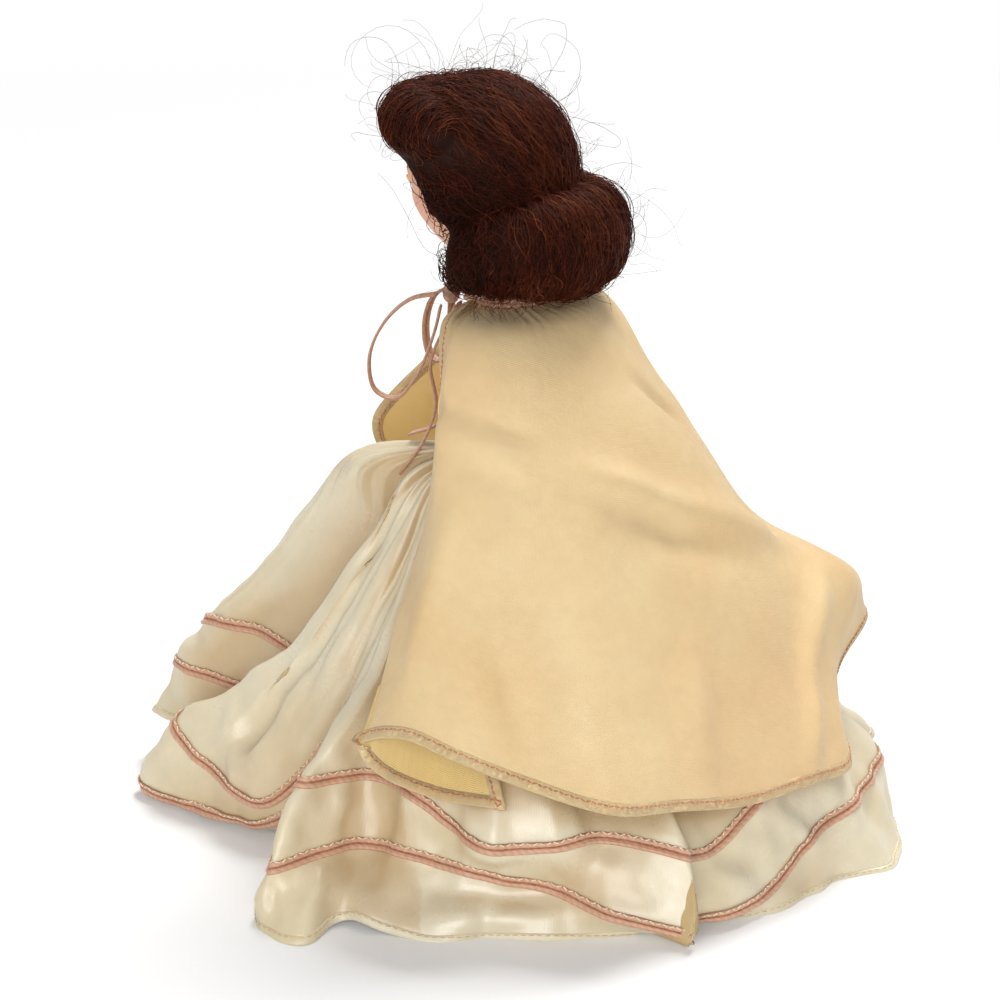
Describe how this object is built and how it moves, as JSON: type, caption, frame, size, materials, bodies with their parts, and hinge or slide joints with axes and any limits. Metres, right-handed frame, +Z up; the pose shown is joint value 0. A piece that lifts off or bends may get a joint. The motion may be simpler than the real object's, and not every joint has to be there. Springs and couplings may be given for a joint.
{
  "type": "plastic doll",
  "caption": "Small strung hard-plastic doll in a long ribbon-trimmed satin gown and a taffeta cape tied with a bow, with turning head, sleep eyes, arms and legs.",
  "frame": {"origin": "on the floor at the middle of the gown's box, under the neck", "axes": "+Z up, -Y the way the doll faces, +X its left side"},
  "size_m": [0.1323, 0.1551, 0.1511],
  "materials": {
    "plastic": "painted hard plastic with a soft sheen",
    "eye": "polished, with a painted iris",
    "lead": "bare cast lead and wire",
    "cap": "stitched cotton net",
    "hair": "brushed mohair",
    "wire": "bent bright wire",
    "rubber": "round elastic",
    "satin": "aged ivory satin",
    "cotton": "thin cotton",
    "taffeta": "cream taffeta, yellowed",
    "ribbon": "narrow woven ribbon with corded edges"
  },
  "bodies": {
    "torso": {"torso_front": "plastic", "torso_back": "plastic", "shoulder_band": "rubber", "hip_band": "rubber", "neck_band": "rubber", "bodice": "satin", "petticoat": "cotton", "skirt": "satin", "skirt_ribbon_upper": "ribbon", "skirt_ribbon_lower": "ribbon", "cape": "taffeta", "collar_ribbon": "ribbon", "bow_knot": "ribbon", "bow_loop_left": "ribbon", "bow_loop_right": "ribbon", "bow_tail_left": "ribbon", "bow_tail_right": "ribbon"},
    "head": {"head_face": "plastic", "head_back": "plastic", "head_hook": "wire", "wig_cap": "cap", "wig_hair": "hair"},
    "eyes": {"eye_left": "eye", "eye_right": "eye", "eye_rocker": "lead"},
    "left_arm": {"arm_left": "plastic", "arm_hook_left": "wire"},
    "right_arm": {"arm_right": "plastic", "arm_hook_right": "wire"},
    "left_leg": {"leg_left": "plastic", "leg_hook_left": "wire"},
    "right_leg": {"leg_right": "plastic", "leg_hook_right": "wire"}
  },
  "joints": [
    {"name": "neck_turn", "type": "hinge", "parent": "torso", "child": "head", "pos_m": [0, 0, 0.1065], "axis": [0, 0, 1], "range_deg": [-80, 80], "deforming": ["neck_band"]},
    {"name": "eye_close", "type": "hinge", "parent": "head", "child": "eyes", "pos_m": [0, -0.01562, 0.13099], "axis": [1, 0, 0], "range_deg": [0, 70]},
    {"name": "left_shoulder", "type": "hinge", "parent": "torso", "child": "left_arm", "pos_m": [0.0125, 0, 0.0995], "axis": [-1, 0, 0], "range_deg": [-25, 90], "deforming": ["shoulder_band"]},
    {"name": "right_shoulder", "type": "hinge", "parent": "torso", "child": "right_arm", "pos_m": [-0.0125, 0, 0.0995], "axis": [-1, 0, 0], "range_deg": [-25, 90]},
    {"name": "left_hip", "type": "hinge", "parent": "torso", "child": "left_leg", "pos_m": [0.0067, 0, 0.066], "axis": [-1, 0, 0], "range_deg": [-25, 25], "deforming": ["hip_band"]},
    {"name": "right_hip", "type": "hinge", "parent": "torso", "child": "right_leg", "pos_m": [-0.0067, 0, 0.066], "axis": [-1, 0, 0], "range_deg": [-25, 25]}
  ]
}
